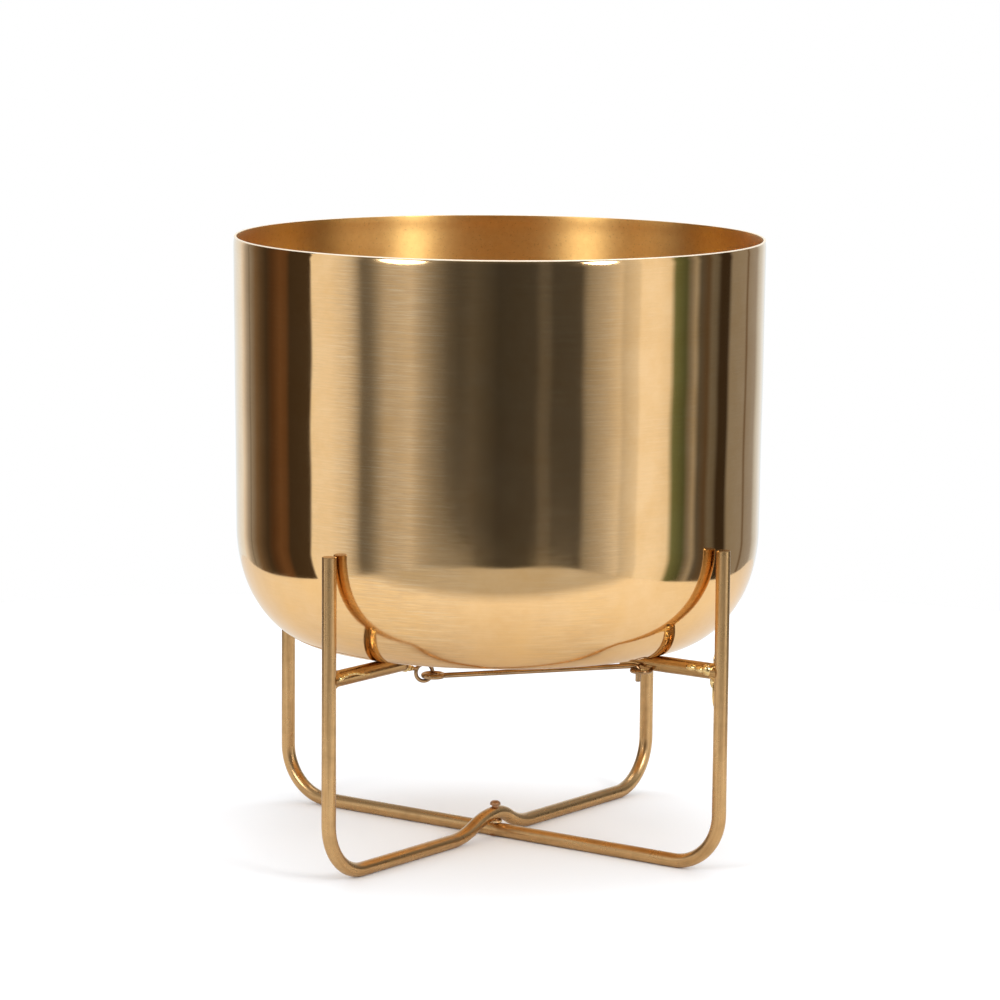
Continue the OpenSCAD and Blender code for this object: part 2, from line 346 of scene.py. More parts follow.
def sweep_tree():
    """Sweeps a round section along each path, and keeps the distance along it and the place about it."""
    tree, given, result = geometry_tree(
        "drawn rod", "Rod", Path="Geometry", Rod_Radius="Float", Sides="Int", Finish="Material"
    )

    spline = node(tree, "GeometryNodeSplineParameter")
    along = node(tree, "GeometryNodeStoreNamedAttribute", data_type="FLOAT", domain="POINT")
    along.inputs["Name"].default_value = "along"
    wire(tree, given.outputs["Path"], along.inputs["Geometry"])
    wire(tree, spline.outputs["Length"], along.inputs["Value"])

    circle = node(tree, "GeometryNodeCurvePrimitiveCircle", mode="RADIUS")
    wire(tree, given.outputs["Sides"], circle.inputs["Resolution"])
    wire(tree, given.outputs["Rod Radius"], circle.inputs["Radius"])
    place = node(tree, "GeometryNodeInputPosition")
    about = node(tree, "GeometryNodeStoreNamedAttribute", data_type="FLOAT_VECTOR", domain="POINT")
    about.inputs["Name"].default_value = "about"
    wire(tree, circle.outputs["Curve"], about.inputs["Geometry"])
    wire(tree, place.outputs[0], about.inputs["Value"])

    sweep = node(tree, "GeometryNodeCurveToMesh")
    sweep.inputs["Fill Caps"].default_value = True
    thickness = node(tree, "GeometryNodeInputRadius")
    wire(tree, along.outputs["Geometry"], sweep.inputs["Curve"])
    wire(tree, about.outputs["Geometry"], sweep.inputs["Profile Curve"])
    wire(tree, thickness.outputs["Radius"], sweep.inputs["Scale"])

    real = node(tree, "GeometryNodeRealizeInstances")
    finish = node(tree, "GeometryNodeSetMaterial")
    wire(tree, sweep.outputs["Mesh"], real.inputs["Geometry"])
    wire(tree, real.outputs["Geometry"], finish.inputs["Geometry"])
    wire(tree, given.outputs["Finish"], finish.inputs["Material"])
    wire(tree, finish.outputs["Geometry"], result.inputs["Rod"])
    return tree


def set_input(modifier, tree, name, value):
    for item in tree.interface.items_tree:
        if item.item_type == "SOCKET" and item.in_out == "INPUT" and item.name == name:
            modifier[item.identifier] = value


def add_object(name, data):
    made = bpy.data.objects.new(name, data)
    bpy.context.scene.collection.objects.link(made)
    return made


def plain_mesh(obj, name):
    """The evaluated object as a plain mesh object at the origin, and the source removed."""
    graph = bpy.context.evaluated_depsgraph_get()
    mesh = bpy.data.meshes.new_from_object(obj.evaluated_get(graph))
    made = add_object(name, mesh)
    obj.modifiers.clear()
    bpy.data.objects.remove(obj)
    return made


MERGE_WITHIN = 0.002 * MM


def outward(mesh, sharp_degrees):
    """Merges doubles, points the faces outwards, and smooths all but the sharp edges."""
    work = bmesh.new()
    work.from_mesh(mesh)
    bmesh.ops.remove_doubles(work, verts=work.verts, dist=MERGE_WITHIN)
    bmesh.ops.recalc_face_normals(work, faces=work.faces)
    work.to_mesh(mesh)
    work.free()
    for face in mesh.polygons:
        face.use_smooth = True
    mesh.set_sharp_from_angle(angle=math.radians(sharp_degrees))


SWEEP = sweep_tree()


def swept(name, paths, radius, finish, sides):
    """Rods or wires along paths, given as (points in mm, thickness at each point, closed or not)."""
    curve = bpy.data.curves.new(name + " path", "CURVE")
    curve.dimensions = "3D"
    for points, thickness, closed in paths:
        spline = curve.splines.new("POLY")
        spline.points.add(len(points) - 1)
        spline.use_cyclic_u = closed
        for made, point, thick in zip(spline.points, points, thickness):
            made.co = (*(Vector(point) * MM), 1.0)
            made.radius = thick
    obj = add_object(name + " path", curve)
    modifier = obj.modifiers.new("drawn rod", "NODES")
    modifier.node_group = SWEEP
    set_input(modifier, SWEEP, "Rod Radius", radius * MM)
    set_input(modifier, SWEEP, "Sides", sides)
    set_input(modifier, SWEEP, "Finish", finish)
    made = plain_mesh(obj, name)
    outward(made.data, 35)
    return made


def polar(azimuth, distance, aside=0.0):
    """A place on plan: a distance out along an azimuth, then aside from it to the left."""
    c = math.cos(math.radians(azimuth))
    s = math.sin(math.radians(azimuth))
    return (distance * c - aside * s, distance * s + aside * c)


def arc(centre_x, centre_z, radius, start, turn, steps):
    """Points on an upright circle as (distance, height), with the start and the turn in degrees."""
    spokes = [polar(start + turn * i / steps, radius) for i in range(steps + 1)]
    return [(centre_x + x, centre_z + z) for x, z in spokes]


def line(first, last, steps):
    return [tuple(a + (b - a) * i / steps for a, b in zip(first, last)) for i in range(steps + 1)]


def joined(*runs):
    """Runs of points end to end, without the doubled points."""
    out = []
    for run in runs:
        for point in run:
            if not out or (Vector(point) - Vector(out[-1])).length > 0.01:
                out.append(point)
    return out


def turned(points, azimuth):
    """(distance, height) pairs into 3-D points on an upright plane at an azimuth."""
    return [(*polar(azimuth, x), z) for x, z in points]


def placed(points, azimuth):
    """(distance, aside, height) points into 3-D points at an azimuth."""
    return [(*polar(azimuth, x, y), z) for x, y, z in points]


# The rounded top end of a post: how far down it reaches, and the thickness at the very end.
POST_END = 0.35
POST_END_THICKNESS = 0.93

# The rounded inner end of an arm: the first steps in from it, and the thickness at its first points.
ARM_END_STEPS = (0.35, 0.9)
ARM_END_THICKNESS = [0.85, 0.94]
# How far short of the post's middle line an arm stops, inside the post.
ARM_SHORT = 1.0
# How much an arm's thickness wanders along its length.
ARM_UNEVEN = 0.012

# The hump's (run, top radius) on its two sides.
FRONT_HUMP = (42, 48)
BACK_HUMP = (33, 23)


def post_half(hump):
    """From the rail's middle out to the post's top, as (distance, height) pairs.

    hump is (run, top radius), or None for a plain rail.
    """
    if hump:
        run, top_r = hump
        slope = 2 * math.degrees(math.atan(HUMP_RISE / run))
        low_r = run / math.sin(math.radians(slope)) - top_r
        over = arc(0.0, ROD_R + HUMP_RISE - top_r, top_r, 90, -slope, 16)
        under = arc(run, ROD_R + low_r, low_r, -90 - slope, slope, 16)
        foot = joined(over, under)
    else:
        foot = [(0.0, ROD_R)]
    rail = line(foot[-1], (POST_R - BEND_R, ROD_R), 12)
    bend = arc(POST_R - BEND_R, ROD_R + BEND_R, BEND_R, -90, 90, 24)
    post = line((POST_R, ROD_R + BEND_R), (POST_R, POST_TOP - POST_END), 18)
    return joined(foot, rail, bend, post, [(POST_R, POST_TOP)])


def frame_rod(name, azimuth, front_hump, back_hump):
    front = [(-x, z) for x, z in reversed(post_half(front_hump))]
    points = joined(front, post_half(back_hump))
    thickness = [1.0] * len(points)
    thickness[0] = POST_END_THICKNESS
    thickness[-1] = POST_END_THICKNESS
    return swept(name, [(turned(points, azimuth), thickness, False)], ROD_R, ROD_FINISH, 48)


hump_rod = frame_rod("hump_rod", BACK_RIGHT, FRONT_HUMP, BACK_HUMP)
flat_rod = frame_rod("flat_rod", FRONT_RIGHT, None, None)


def stub_arm(name, azimuth):
    ending = [(ARM_END + step, ARM_Z) for step in (0.0, *ARM_END_STEPS)]
    points = joined(ending, line(ending[-1], (POST_R - ARM_SHORT, ARM_Z), 24))
    thickness = [1.0 + ARM_UNEVEN * noise.noise(Vector((x / 9, azimuth, 0))) for x, _ in points]
    thickness[0:2] = ARM_END_THICKNESS
    return swept(name, [(turned(points, azimuth), thickness, False)], ARM_R, ARM_FINISH, 48)


ARMS = {
    "front_left": FRONT_LEFT,
    "back_right": BACK_RIGHT,
    "front_right": FRONT_RIGHT,
    "back_left": BACK_LEFT,
}
arms = {name: stub_arm("arm_" + name + "_rod", azimuth) for name, azimuth in ARMS.items()}


# ---------------------------------------------------------------- brazed joints


def mesh_piece(name, points, faces, finish, sharp_degrees=60):
    mesh = bpy.data.meshes.new(name)
    mesh.from_pydata([tuple(Vector(p) * MM) for p in points], [], faces)
    mesh.materials.append(finish)
    made = add_object(name, mesh)
    outward(mesh, sharp_degrees)
    return made


# How far a bead of braze is from an even ball, as a part of its size.
LUMP_UNEVEN = 0.16


def lump(centre, size, seed, steps=20):
    """A squashed bead of braze: points and faces of an uneven ball."""
    points = []
    faces = []
    rows = steps // 2
    for i in range(rows + 1):
        tilt = math.pi * i / rows
        for k in range(steps):
            turn = 2 * math.pi * k / steps
            way = Vector((math.sin(tilt) * math.cos(turn), math.sin(tilt) * math.sin(turn), math.cos(tilt)))
            reach = 1 + LUMP_UNEVEN * noise.noise(way * 1.4 + Vector((seed, 3.1, 7.7)))
            points.append(tuple(centre[a] + size[a] * way[a] * reach for a in range(3)))
    for i in range(rows):
        for k in range(steps):
            a = i * steps + k
            b = i * steps + (k + 1) % steps
            faces.append((a, b, b + steps, a + steps))
    return points, faces


def together(parts):
    """Several (points, faces) as one."""
    points = []
    faces = []
    for more_points, more_faces in parts:
        base = len(points)
        points += more_points
        faces += [tuple(i + base for i in face) for face in more_faces]
    return points, faces


def on_arm(x, turn_degrees, sink):
    """A point just under an arm's skin, at a distance from the axis and a turn about the arm."""
    turn = math.radians(turn_degrees)
    r = ARM_R - sink
    return (x, r * math.cos(turn), ARM_Z + r * math.sin(turn))


# Beads of a ridge: the distance between them, half their length, and how far their line wanders.
BEAD_STEP = 1.1
BEAD_HALF_LENGTH = 1.7
BEAD_WANDER_DEGREES = 5


def ridge(run, seed):
    """Overlapping beads along an arm: run is a list of (distance from the axis, turn, half width)."""
    parts = []
    for (x0, turn0, wide0), (x1, turn1, wide1) in zip(run, run[1:]):
        steps = max(2, round(abs(x1 - x0) / BEAD_STEP))
        for i in range(steps):
            t = i / steps
            x = x0 + (x1 - x0) * t
            wander = BEAD_WANDER_DEGREES * noise.noise(Vector((x / 2.3, seed, 0)))
            turn = turn0 + (turn1 - turn0) * t + wander
            uneven = 1 + 0.3 * noise.noise(Vector((x / 1.7, seed, 5)))
            wide = (wide0 + (wide1 - wide0) * t) * uneven
            size = (BEAD_HALF_LENGTH, wide, wide)
            parts.append(lump(on_arm(x, turn, 0.45 * wide), size, seed + i, 16))
    return parts


# The fillet of braze round an arm's end: how far it runs along the arm and up the post.
FILLET_REACH = 2.9
FILLET_RISE = 2.3
# Half its width where it meets the post, and at the bend of its curve.
FILLET_SIDE = 3.55
FILLET_BEND_SIDE = 3.3
# How deep its outer edge lies in the post, and how far off the post the bend of its curve is.
FILLET_SINK = 0.35
FILLET_BEND_OFF = 0.2
# How deep it starts under the arm's skin.
FILLET_START_SINK = 0.06
# How wide its tongue along the arm is, in degrees about the arm.
TONGUE_DEGREES = 22


def post_skin(aside):
    """The distance from the axis to a post's inner side, at a distance aside from its middle."""
    return POST_R - math.sqrt(max(ROD_R**2 - aside**2, 0.0))


def fillet_collar(seed, ridge_at, ridge_length, flare, around=96, across=16):
    """Concave braze round the end of an arm.

    It is made in the arm's own frame: x from the axis outward, y aside, z up.
    """
    points = []
    for k in range(around):
        turn = 2 * math.pi * k / around
        cy = math.cos(turn)
        cz = math.sin(turn)
        wobble = noise.noise(Vector((1.5 * cy + seed, 1.5 * cz, 2.2)))
        ripple = noise.noise(Vector((4.0 * cy + seed, 4.0 * cz, 9.1)))
        away = math.degrees(math.atan2(math.sin(turn - ridge_at), math.cos(turn - ridge_at)))
        tongue = math.exp(-((away / TONGUE_DEGREES) ** 2))
        reach = FILLET_REACH + 0.9 * wobble + 0.5 * ripple + ridge_length * tongue
        rise = FILLET_RISE + 0.8 * wobble + 0.3 * ripple + flare * max(0.0, -cz) ** 2
        start = POST_R - ROD_R - reach
        bend = post_skin(FILLET_BEND_SIDE * cy) - FILLET_BEND_OFF
        side = FILLET_SIDE * cy
        end = post_skin(side) + FILLET_SINK
        height = (ARM_R + rise) * cz
        lip = 0.05 + 0.35 * tongue
        for j in range(across + 1):
            t = j / across
            a = (1 - t) ** 2
            b = 2 * t * (1 - t)
            c = t * t
            swell = lip * math.sin(math.pi * min(1.0, t * 1.25)) if t < 0.8 else 0.0
            crumple = 0.18 * tongue * noise.noise(Vector((t * 7 + seed, 5 * cy, 5 * cz))) * (1 - t)
            around_r = ARM_R - FILLET_START_SINK + swell + crumple
            x = a * start + b * bend + c * end
            y = (a + b) * around_r * cy + c * side
            z = (a + b) * around_r * cz + c * height
            points.append((x, y, z + ARM_Z))
    faces = []
    row = across + 1
    for k in range(around):
        n = (k + 1) % around
        for j in range(across):
            faces.append((k * row + j, k * row + j + 1, n * row + j + 1, n * row + j))
    # Both ends are closed inside the arm and the post.
    first = len(points)
    points.append((POST_R - ROD_R - 2.0, 0.0, ARM_Z))
    points.append((POST_R - 0.5, 0.0, ARM_Z))
    for k in range(around):
        n = (k + 1) % around
        faces.append((first, k * row, n * row))
        faces.append((first + 1, n * row + across, k * row + across))
    return points, faces


def brazed_joint(name, azimuth, seed, ridge_degrees, ridge_length, flare=0.3, beads=()):
    """flare: how much further the fillet runs down the post than up it."""
    collar = fillet_collar(seed, math.radians(ridge_degrees), ridge_length, flare)
    points, faces = together([collar, *beads])
    made = mesh_piece(name, placed(points, azimuth), faces, COLLAR_FINISH)
    made.data.materials.append(BRAZE_FINISH)
    for face in made.data.polygons:
        if face.index >= len(collar[1]):
            face.material_index = 1
    return made


# Ridges on the front left arm: (distance from the axis, turn about the arm, half width).
UPPER_RIDGE = [(149.6, 8, 1.5), (146.0, 20, 1.25), (142.0, 28, 1.0), (138.0, 30, 0.9), (134.0, 20, 0.8)]
LOWER_RIDGE = [(134.0, 20, 0.8), (129.0, 2, 0.6), (124.0, -4, 0.5)]

joint_front_left = brazed_joint(
    "braze_front_left_joint",
    FRONT_LEFT,
    seed=3.0,
    ridge_degrees=20,
    ridge_length=2.5,
    flare=0.4,
    beads=ridge(UPPER_RIDGE, 31) + ridge(LOWER_RIDGE, 37),
)
joint_front_right = brazed_joint(
    "braze_front_right_joint",
    FRONT_RIGHT,
    seed=8.0,
    ridge_degrees=150,
    ridge_length=2.0,
    flare=2.4,
    beads=[
        lump(on_arm(137.0, 160, 1.0), (4.2, 1.8, 2.0), 3),
        lump(on_arm(142.8, 168, 1.0), (3.6, 1.8, 2.0), 4),
        lump(on_arm(147.2, 165, 0.8), (3.2, 2.4, 3.2), 5),
        lump((149.6, 0.0, ARM_Z - 5.2), (2.1, 2.4, 4.6), 8),
        lump((150.7, -0.4, ARM_Z - 11.0), (1.1, 2.4, 9.0), 6),
        lump((150.7, 0.2, ARM_Z + 6.5), (1.1, 2.4, 4.6), 7),
    ],
)
joint_back_right = brazed_joint(
    "braze_back_right_joint", BACK_RIGHT, seed=14.0, ridge_degrees=120, ridge_length=4.0
)
joint_back_left = brazed_joint(
    "braze_back_left_joint", BACK_LEFT, seed=21.0, ridge_degrees=60, ridge_length=5.0
)


# ---------------------------------------------------------------- link ring, keeper ring and stay


RING_STEPS = 72


def round_ring(radius):
    """(x, y) points round a circle."""
    return [polar(360 * i / RING_STEPS, radius) for i in range(RING_STEPS)]


def even(points, closed=False):
    """A path for swept(), as thick all along."""
    return (points, [1.0] * len(points), closed)


LINK_AZIMUTH = 11.3
LINK_R = 4.9
LINK_Z = 107.9
LINK_CENTRE = (-49.5, -55.15)
SHANK_Z = ARM_Z - ARM_R - RING_WIRE_R


# The two ends of the ring's shank under the arm, as (distance, height), and the step of the ring
# that its neck leaves from.
SHANK_FROM = (80.9, SHANK_Z + 1.2)
SHANK_TO = (91.0, SHANK_Z + 3.0)
NECK_STEP = 30


def link_paths():
    ring = []
    for out, up in round_ring(LINK_R):
        x, y = polar(LINK_AZIMUTH, out)
        ring.append((LINK_CENTRE[0] + x, LINK_CENTRE[1] + y, LINK_Z + up))
    shank = turned(line(SHANK_FROM, SHANK_TO, 10), FRONT_LEFT)
    return [even(ring, closed=True), even([ring[NECK_STEP], *shank])]


link_wire = swept("link_wire", link_paths(), RING_WIRE_R, WIRE_FINISH, 28)

KEEPER_R = 5.35
KEEPER_Z = 110.8
KEEPER_CENTRE = polar(FRONT_RIGHT, 104.8, -5.9)


def keeper_path():
    ring = [(KEEPER_CENTRE[0] + x, KEEPER_CENTRE[1] + y, KEEPER_Z) for x, y in round_ring(KEEPER_R)]
    return even(ring, closed=True)


keeper_wire = swept("keeper_wire", [keeper_path()], RING_WIRE_R, WIRE_FINISH, 28)

EYE_CENTRE = (-45.44, -54.70)
EYE_R = 5.5
EYE_SLIP = 1.2
EYE_Z = 106.1
STAY_AZIMUTH = -11.549
STAY_LENGTH = 116.06
STAY_END_Z = 113.55
TIP_BEND_R = 3.0
TIP_Z = 104.6
# The rounded end of the tip: how far up it reaches, and the thickness at the very end.
TIP_END = 0.3
TIP_END_THICKNESS = 0.82


def stay_paths():
    def at_eye(points):
        return [(EYE_CENTRE[0] + x, EYE_CENTRE[1] + y, z) for x, y, z in placed(points, STAY_AZIMUTH)]

    eye = [(EYE_SLIP + x, y, EYE_Z) for x, y in round_ring(EYE_R)]
    bend_x = STAY_LENGTH - TIP_BEND_R
    bend_z = STAY_END_Z - TIP_BEND_R
    reach = math.hypot(bend_x - EYE_R, bend_z - EYE_Z)
    climb = math.degrees(math.atan2(bend_z - EYE_Z, bend_x - EYE_R) + math.asin(TIP_BEND_R / reach))
    bend = arc(bend_x, bend_z, TIP_BEND_R, 90 + climb, -90 - climb, 14)
    rod = line((EYE_SLIP + EYE_R, EYE_Z), bend[0], 30)
    down = line(bend[-1], (STAY_LENGTH, TIP_Z + TIP_END), 4)
    points = [(x, 0.0, z) for x, z in joined(rod, bend, down, [(STAY_LENGTH, TIP_Z)])]
    thickness = [1.0] * len(points)
    thickness[-1] = TIP_END_THICKNESS
    return [even(at_eye(eye), closed=True), (at_eye(points), thickness, False)]


stay_wire = swept("stay_wire", stay_paths(), STAY_WIRE_R, WIRE_FINISH, 32)

# Beads along the shank: (distance in from the arm's end, aside, height over the shank, size, seed).
LINK_BEADS = (
    (0.3, 0.5, 3.0, (2.0, 2.9, 2.5), 11),
    (2.4, 0.2, 2.4, (1.9, 2.0, 1.9), 12),
    (5.0, 0.0, 1.9, (2.3, 1.9, 1.8), 13),
    (7.6, -0.1, 1.4, (1.9, 1.6, 1.5), 14),
)
# Beads along the arm over the keeper ring: (distance along it, half width, seed).
KEEPER_BEADS = ((-2.2, 1.5, 15), (0.4, 1.8, 16), (2.6, 1.4, 17))
KEEPER_BEAD_HALF_HEIGHT = 1.7


def link_beads():
    parts = []
    for inward, aside, over, size, seed in LINK_BEADS:
        parts.append(lump((ARM_END - inward, aside, SHANK_Z + over), size, seed))
    points, faces = together(parts)
    return placed(points, FRONT_LEFT), faces


link_bead = mesh_piece("link_bead", *link_beads(), BRAZE_FINISH)


def keeper_beads():
    x, y = polar(BACK_RIGHT, KEEPER_R - 0.6)
    spot = (KEEPER_CENTRE[0] + x, KEEPER_CENTRE[1] + y)
    parts = []
    for offset, wide, seed in KEEPER_BEADS:
        x, y = polar(FRONT_RIGHT, offset)
        size = (wide, wide, KEEPER_BEAD_HALF_HEIGHT)
        parts.append(lump((spot[0] + x, spot[1] + y, KEEPER_Z + 0.1), size, seed))
    return together(parts)


keeper_bead = mesh_piece("keeper_bead", *keeper_beads(), BRAZE_FINISH)


# ---------------------------------------------------------------- turned pieces: pot, rivet and washer


def turn_on_lathe(outline, steps, shift=None):
    """Revolves a closed outline of (radius, height) about the axis; a radius of 0 becomes one point.

    shift gives how far a point moves out, from its turn and height.
    """
    points = []
    rings = []
    for r, z in outline:
        if r <= 0.0:
            rings.append([len(points)])
            points.append((0.0, 0.0, z))
            continue
        ring = []
        for k in range(steps):
            turn = 2 * math.pi * k / steps
            out = r + (shift(turn, z) if shift else 0.0)
            ring.append(len(points))
            points.append((out * math.cos(turn), out * math.sin(turn), z))
        rings.append(ring)
    faces = []
    pairs = list(zip(rings, rings[1:]))
    if outline[0][0] > 0.0:
        pairs.append((rings[-1], rings[0]))
    for low, high in pairs:
        for k in range(steps):
            n = (k + 1) % steps
            if len(low) == 1 and len(high) > 1:
                faces.append((low[0], high[n], high[k]))
            elif len(high) == 1 and len(low) > 1:
                faces.append((low[k], low[n], high[0]))
            elif len(low) > 1:
                faces.append((low[k], low[n], high[n], high[k]))
    return points, faces


# How much the wall narrows towards the bottom, and how far outside the true cylinder it starts.
TAPER = 1.5
FULLER = 1.0
# The dressed edge under the rim: its height, and how far the rim stands in.
LIP_H = 5.0
LIP_IN = 0.7
# Below this height the rounded corner isn't moved.
TRUE_BELOW_Z = 125.0

# Distances from the axis of the rings in the flat base, outside and inside.
BASE_RINGS = (12, 30, 50, 70, 90, 104)
FLOOR_RINGS = (104, 80, 50, 25)
# The eased edge between base and corner: (outward, up) from the corner's first point.
BASE_EASING = ((-3.0, 0.0), (-1.4, 0.12), (0.6, 0.55))
# The thin bead on the rim's outer edge: (outward from the wall, down from the top).
RIM_BEAD = ((0.25, 0.8), (0.35, 0.55), (0.3, 0.25), (0.05, 0.0), (-0.6, 0.0))

SHELL_STEPS = 384
SHELL_FINISHES = (POLISHED, SATIN, RIM_EDGE_HIGHLIGHT)
# Heights that part the finishes: the inside lies between the first two, and the cut edge, painted pale as a
# highlight, lies over the third.
INSIDE_FROM_Z = BASE_Z + 0.5
INSIDE_TO_Z = RIM_Z - 0.3
RIM_HIGHLIGHT_FROM_Z = RIM_Z - 0.5


def wall_inset(z):
    """How far the wall stands in from the true shell: it tapers down, and the rim is dressed in."""
    if z >= RIM_Z - LIP_H:
        return LIP_IN * ((z - RIM_Z + LIP_H) / LIP_H) ** 2 - FULLER
    if z >= WALL_Z:
        return TAPER * (RIM_Z - LIP_H - z) / (RIM_Z - LIP_H - WALL_Z) - FULLER
    return (TAPER - FULLER) * max(0.0, (z - TRUE_BELOW_Z) / (WALL_Z - TRUE_BELOW_Z))


def rounded_corner(inset, steps):
    """The rounded lower corner, from the base up, as (radius, height)."""
    low = math.asin((WALL_Z - BASE_Z - inset) / (CORNER_H - inset))
    out = []
    for i in range(steps + 1):
        drop = low * (1 - i / steps)
        r = POT_R - CORNER_W + (CORNER_W - inset) * math.cos(drop)
        z = WALL_Z - (CORNER_H - inset) * math.sin(drop)
        out.append((r - wall_inset(z), z))
    return out


def wall(inset, first_z, last_z, steps):
    """The wall between two heights, without its first point, as (radius, height)."""
    heights = [first_z + (last_z - first_z) * i / steps for i in range(1, steps + 1)]
    return [(POT_R - inset - wall_inset(z), z) for z in heights]


def pot_outline():
    """The shell's section from the base up over the rim and down the inside to the floor."""
    corner = rounded_corner(0.0, 44)
    eased = [(corner[0][0] + out, corner[0][1] + up) for out, up in BASE_EASING]
    outside = [(0.0, BASE_Z)] + [(r, BASE_Z) for r in BASE_RINGS] + eased + corner[2:]
    outside += wall(0.0, WALL_Z, RIM_Z - LIP_H, 36)
    outside += wall(0.0, RIM_Z - LIP_H, RIM_Z - 1.0, 8)
    lip = POT_R - wall_inset(RIM_Z)
    rim = [(lip + out, RIM_Z - down) for out, down in RIM_BEAD]
    rim.append((lip - SHEET + 0.05, RIM_Z - 0.2))
    inside = [(lip - SHEET, RIM_Z - 0.5), (POT_R - SHEET + FULLER, RIM_Z - LIP_H)]
    inside += wall(SHEET, RIM_Z - LIP_H, WALL_Z, 24)
    inside += list(reversed(rounded_corner(SHEET, 30)))[1:]
    inside += [(r, BASE_Z + SHEET) for r in FLOOR_RINGS] + [(0.0, BASE_Z + SHEET)]
    return outside + rim + inside


def pot_piece(name):
    """The spun shell in its three finishes: polished outside, satin inside, and the rim's cut edge, painted
    pale as a highlight.
    """
    points, faces = turn_on_lathe(pot_outline(), SHELL_STEPS)
    made = mesh_piece(name, points, faces, POLISHED, 75)
    made.data.materials.append(SATIN)
    made.data.materials.append(RIM_EDGE_HIGHLIGHT)
    for face in made.data.polygons:
        centre = face.center
        facing_in = face.normal.x * centre.x + face.normal.y * centre.y < 0.0
        on_floor = face.normal.z > 0.6 and centre.z < (BASE_Z + 40) * MM
        within = INSIDE_FROM_Z * MM < centre.z < INSIDE_TO_Z * MM
        if within and (facing_in or on_floor):
            face.material_index = 1
        elif centre.z > RIM_HIGHLIGHT_FROM_Z * MM:
            face.material_index = 2
    return made


def wave_tree():
    """Long shallow waves left by hand polishing: moves the skin straight out from the axis and in."""
    tree, given, result = geometry_tree(
        "polishing waves",
        "Shell",
        Shell="Geometry",
        Wave_Depth="Float",
        Waves_Per_Metre="Float",
        Seed="Float",
    )

    place = node(tree, "GeometryNodeInputPosition").outputs[0]
    # Waves are a little shorter up the wall than round it.
    squeezed = node(tree, "ShaderNodeVectorMath", operation="MULTIPLY")
    squeezed.inputs[1].default_value = (1.0, 1.0, 1.2)
    wire(tree, place, squeezed.inputs[0])
    waves = node(tree, "ShaderNodeTexNoise", noise_dimensions="4D")
    waves.inputs["Detail"].default_value = 1.6
    waves.inputs["Roughness"].default_value = 0.35
    wire(tree, squeezed.outputs[0], waves.inputs["Vector"])
    wire(tree, given.outputs["Waves Per Metre"], waves.inputs["Scale"])
    wire(tree, given.outputs["Seed"], waves.inputs["W"])
    centred = calculate(tree, "SUBTRACT", waves.outputs["Fac"], 0.5)
    depth = calculate(tree, "MULTIPLY", centred, given.outputs["Wave Depth"])
    push = node(tree, "ShaderNodeVectorMath", operation="SCALE")
    wire(tree, straight_out(tree, place), push.inputs[0])
    wire(tree, depth, push.inputs["Scale"])
    move = node(tree, "GeometryNodeSetPosition")
    wire(tree, given.outputs["Shell"], move.inputs["Geometry"])
    wire(tree, push.outputs[0], move.inputs["Offset"])

    real = node(tree, "GeometryNodeRealizeInstances")
    wire(tree, move.outputs["Geometry"], real.inputs["Geometry"])
    shell = real.outputs["Geometry"]
    for index, finish in enumerate(SHELL_FINISHES):
        own_index = node(tree, "GeometryNodeInputMaterialIndex")
        chosen = node(tree, "FunctionNodeCompare", data_type="INT", operation="EQUAL")
        wire(tree, own_index.outputs[0], chosen.inputs[2])
        chosen.inputs[3].default_value = index
        paint = node(tree, "GeometryNodeSetMaterial")
        paint.inputs["Material"].default_value = finish
        wire(tree, shell, paint.inputs["Geometry"])
        wire(tree, chosen.outputs[0], paint.inputs["Selection"])
        shell = paint.outputs["Geometry"]
    wire(tree, shell, result.inputs["Shell"])
    return tree


def hand_polished(obj):
    name = obj.name
    obj.name = name + " plain"
    tree = wave_tree()
    modifier = obj.modifiers.new("polishing waves", "NODES")
    modifier.node_group = tree
    set_input(modifier, tree, "Wave Depth", 1.1 * MM)
    set_input(modifier, tree, "Waves Per Metre", 10.0)
    set_input(modifier, tree, "Seed", 4.0)
    return plain_mesh(obj, name)


pot = hand_polished(pot_piece("pot"))

# Heights of the rivet's head and of the washer between the rails.
HEAD_Z = 18.3
WASHER_LOW_Z = 8.1
WASHER_HIGH_Z = 9.4
# The radius of the rivet's shank, and of the washer's hole.
SHANK_R = 2.0
WASHER_HOLE_R = 2.05


def rivet_outline():
    """From the tail under the rail up the shank to the head, as (radius, height)."""
    return [
        (0.0, 0.1),
        (2.0, 0.12),
        (2.8, 0.3),
        (3.2, 0.6),
        (3.25, 0.85),
        (2.9, 1.0),
        (SHANK_R, 1.0),
        (SHANK_R, HEAD_Z),
        (2.9, HEAD_Z),
        (3.08, HEAD_Z + 0.15),
        (3.1, HEAD_Z + 1.0),
        (2.98, HEAD_Z + 1.3),
        (2.5, HEAD_Z + 1.9),
        (1.8, HEAD_Z + 2.35),
        (0.9, HEAD_Z + 2.48),
        (0.0, HEAD_Z + 2.5),
    ]


def hammered(turn, z):
    """Flats left on the head by the hammer."""
    if z < HEAD_Z:
        return 0.0
    return 0.16 * noise.noise(Vector((1.3 * math.cos(turn), 1.3 * math.sin(turn), 0.5 * z)))


rivet = mesh_piece("rivet", *turn_on_lathe(rivet_outline(), 64, hammered), RIVET_FINISH, 40)


def washer_outline():
    return [
        (WASHER_HOLE_R, WASHER_LOW_Z),
        (3.8, WASHER_LOW_Z),
        (4.0, WASHER_LOW_Z + 0.15),
        (4.0, WASHER_HIGH_Z - 0.2),
        (3.8, WASHER_HIGH_Z),
        (WASHER_HOLE_R, WASHER_HIGH_Z),
    ]


washer = mesh_piece("washer", *turn_on_lathe(washer_outline(), 64), WASHER_FINISH, 40)


# ---------------------------------------------------------------- what rides on what

